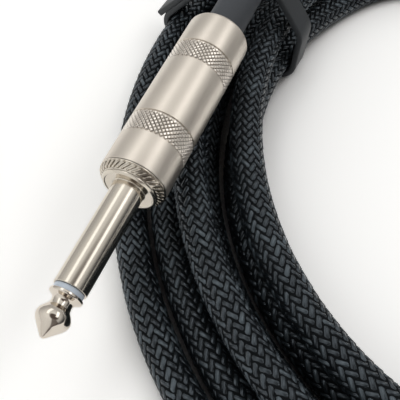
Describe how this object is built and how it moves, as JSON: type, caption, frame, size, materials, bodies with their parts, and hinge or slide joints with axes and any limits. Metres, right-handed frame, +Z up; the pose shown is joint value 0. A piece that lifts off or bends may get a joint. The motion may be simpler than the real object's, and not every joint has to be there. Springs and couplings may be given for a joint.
{
  "type": "instrument cable",
  "caption": "Coiled instrument cable in braided cloth with a straight quarter-inch plug at each end, tied with a strap.",
  "frame": {"origin": "on the surface that the coil lies on, under the middle of the box round the plugs and the tie strap", "axes": "+Z up, +Y away from the plug whose tip lies at the near left, along the longer side of the plugs and strap, +X to the right"},
  "size_m": [0.1743, 0.2293, 0.0302],
  "materials": {
    "polished_nickel": "polished nickel plate",
    "satin_nickel": "brushed nickel plate",
    "insulator": "translucent pale blue",
    "liner_plastic": "plain",
    "fibre": "plain",
    "tinned_brass": "tinned",
    "heat_shrink": "satin",
    "jacket_rubber": "matte",
    "core_plastic": "plain",
    "bare_copper": "twisted strands",
    "cable_braid": "woven",
    "strap_fabric": "smooth woven"
  },
  "bodies": {
    "cable": {"plug_a_tip": "polished_nickel", "plug_a_front_ring": "insulator", "plug_a_inner_tube": "liner_plastic", "plug_a_body": "polished_nickel", "plug_a_rear_washer": "fibre", "plug_a_tip_lug": "tinned_brass", "plug_a_clamp": "tinned_brass", "plug_a_shrink": "heat_shrink", "plug_a_jacket": "jacket_rubber", "plug_a_core": "core_plastic", "plug_a_shield": "bare_copper", "plug_b_tip": "polished_nickel", "plug_b_front_ring": "insulator", "plug_b_inner_tube": "liner_plastic", "plug_b_body": "polished_nickel", "plug_b_rear_washer": "fibre", "plug_b_tip_lug": "tinned_brass", "plug_b_clamp": "tinned_brass", "plug_b_shrink": "heat_shrink", "plug_b_jacket": "jacket_rubber", "plug_b_core": "core_plastic", "plug_b_shield": "bare_copper", "cable_lead_a": "cable_braid", "cable_coil": "cable_braid", "cable_lead_b": "cable_braid", "tie_strap": "strap_fabric"},
    "liner_a": {"plug_a_liner": "liner_plastic"},
    "handle_a": {"plug_a_handle": "satin_nickel"},
    "liner_b": {"plug_b_liner": "liner_plastic"},
    "handle_b": {"plug_b_handle": "satin_nickel"}
  },
  "joints": [
    {"name": "handle_a_travel", "type": "slide", "parent": "cable", "child": "liner_a", "axis": [0.4048, 0.9134, 0.0436], "range_m": [0, 0.005]},
    {"name": "handle_a_turn", "type": "hinge", "parent": "liner_a", "child": "handle_a", "pos_m": [-0.03126, -0.04324, 0.02237], "axis": [0.4048, 0.9134, 0.0436], "range_deg": [0, 2400]},
    {"name": "handle_b_travel", "type": "slide", "parent": "cable", "child": "liner_b", "axis": [-0.6428, -0.766, 0], "range_m": [0, 0.005]},
    {"name": "handle_b_turn", "type": "hinge", "parent": "liner_b", "child": "handle_b", "pos_m": [0.02018, 0.05057, 0.014], "axis": [-0.6428, -0.766, 0], "range_deg": [0, 2400]}
  ],
  "couplings": [
    {"joint": "handle_a_travel", "follows": "handle_a_turn", "m_per_rad": 0.00011937},
    {"joint": "handle_b_travel", "follows": "handle_b_turn", "m_per_rad": 0.00011937}
  ]
}
